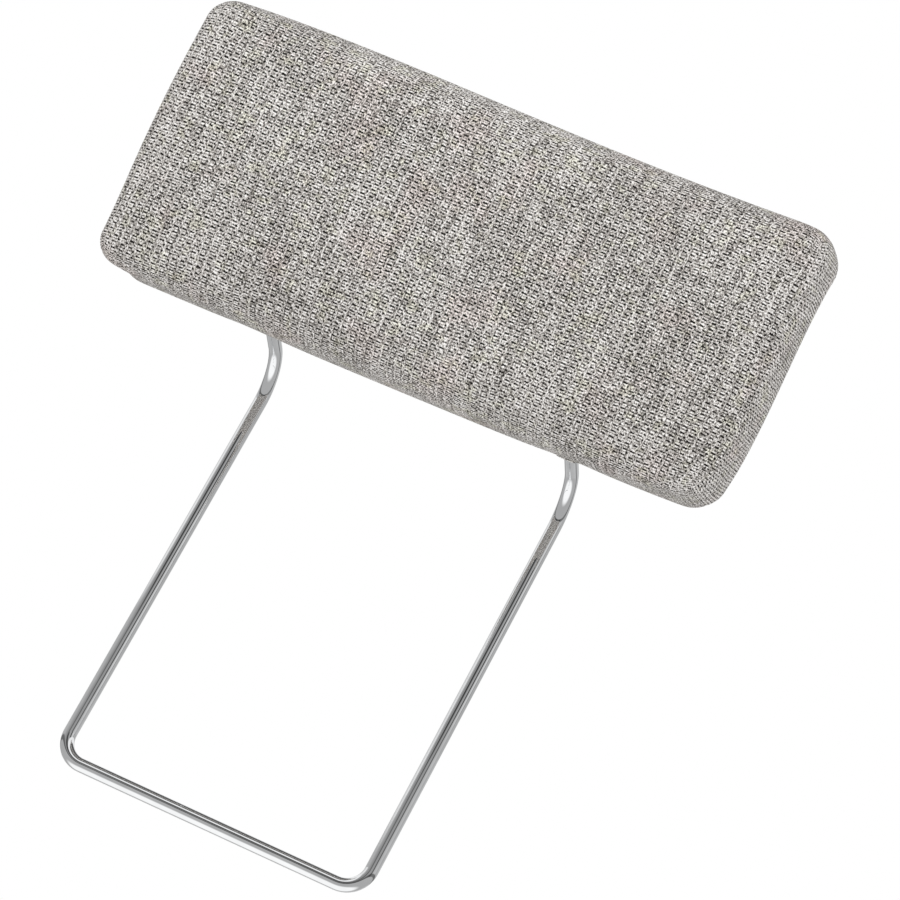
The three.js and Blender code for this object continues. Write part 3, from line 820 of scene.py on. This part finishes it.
def place_camera():
    camera = bpy.data.objects.new("camera", bpy.data.cameras.new("camera"))
    bpy.context.collection.objects.link(camera)
    turn = Matrix((CAMERA_RIGHT, -CAMERA_DOWN, -CAMERA_FORWARD)).transposed().to_4x4()
    camera.matrix_world = Matrix.Translation(CAMERA_PLACE) @ turn
    camera.data.sensor_width = 36
    camera.data.lens = CAMERA_LENS
    camera.data.clip_end = 100
    bpy.context.scene.camera = camera


def place_lamp(name, place, size, power):
    lamp = bpy.data.lights.new(name, "AREA")
    lamp.shape = "SQUARE"
    lamp.size = size
    lamp.energy = power
    holder = bpy.data.objects.new(name, lamp)
    bpy.context.collection.objects.link(holder)
    holder.visible_glossy = False
    holder.location = place
    holder.rotation_euler = (Vector(LAMP_TARGET) - Vector(place)).to_track_quat("-Z", "Y").to_euler()


def studio_world():
    """Plain soft light from all round, white behind the part, and grey walls for the chrome to show."""
    world = bpy.data.worlds.new("studio")
    bpy.context.scene.world = world
    tree = Tree(world)
    x, y, z = tree.split(tree.value("TexCoord", None, None, "Generated"))
    around = x.math("ARCTAN2", -y) / math.tau + 0.5
    walls = tree.mix(z.ramp(0.262, 0.276), tree.greys(around, LOW_WALLS), tree.greys(around, HIGH_WALLS))
    # Above, a bright band and a dark roof. At the horizon a dark line, then grey, and white right below
    walls = tree.mix(z.ramp(0.48, 0.54), walls, plain_grey(1.0))
    walls = tree.mix(z.ramp(0.74, 0.8), walls, plain_grey(0.12))
    walls = tree.mix(z.ramp(0.14, 0.08, 0, 0.7), walls, plain_grey(0.02))
    walls = tree.mix(z.ramp(-0.01, -0.06), walls, y.ramp(0.75, 0.95, 0.48, 0.66))
    walls = tree.mix(z.ramp(-0.6, -0.85), walls, plain_grey(1.15))
    path = tree.node("LightPath")
    seen = Value(tree, path.outputs["Is Camera Ray"])
    mirrored = Value(tree, path.outputs["Is Glossy Ray"])
    color = tree.mix(mirrored, plain_grey(SOFT_LIGHT), walls)
    color = tree.mix(seen, color, plain_grey(1.0))
    tree.node("OutputWorld", None, {"Surface": tree.value("Background", None, {"Color": color})})


def build_floor():
    """A pale floor just under the rod that fades out. It is clear from below, to lamps and in the chrome."""
    material, tree = finish("pale_floor")
    geometry = tree.node("NewGeometry")
    path = tree.node("LightPath")
    clear = Value(tree, geometry.outputs["Backfacing"])
    for ray in ("Is Shadow Ray", "Is Glossy Ray"):
        clear = clear.math("MAXIMUM", Value(tree, path.outputs[ray]))
    x, y, _ = object_places(tree)
    away = (x * x + y * y) ** 0.5
    clear = clear.math("MAXIMUM", away.ramp(*FLOOR_FADE))
    diffuse = tree.value("BsdfDiffuse", None, {"Color": plain_grey(0.9)})
    shader = tree.value("MixShader", None, {0: clear, 1: diffuse, 2: tree.value("BsdfTransparent")})
    tree.node("OutputMaterial", None, {"Surface": shader})
    signs = ((-1, -1), (1, -1), (1, 1), (-1, 1))
    corners = [(across * FLOOR_REACH, deep * FLOOR_REACH, FLOOR_Z) for across, deep in signs]
    floor = new_piece("floor", corners, [(0, 1, 2, 3)], material)


def build_stage():
    place_camera()
    studio_world()
    build_floor()
    for lamp in LAMPS:
        place_lamp(*lamp)
    bpy.context.scene.view_settings.view_transform = "Standard"


def dress_nodes(names, material):
    """Gives CAD pieces that stay as they are a material."""
    for name in names:
        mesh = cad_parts[name].data
        mesh.materials.clear()
        mesh.materials.append(material)


def build_part():
    chrome = polished_chrome()
    steel = plated_steel()
    cloth = woven_cover()
    build_cover(cloth)
    build_hems(cloth)
    build_zip_teeth(zip_nylon())
    build_zip_stitches(zip_tape_cloth())
    build_rod(chrome)
    metal = ("rod_clamp", "clamp_screw", "flanged_nut", "zip_slider", "zip_puller", "zip_bottom", "zip_top")
    dress_nodes([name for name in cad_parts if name.startswith(metal)], steel)
    dress_nodes(["back_board"], raw_plywood())
    dress_nodes(["zip_tape_lower", "zip_tape_upper"], zip_tape_cloth())


build_stage()
build_part()
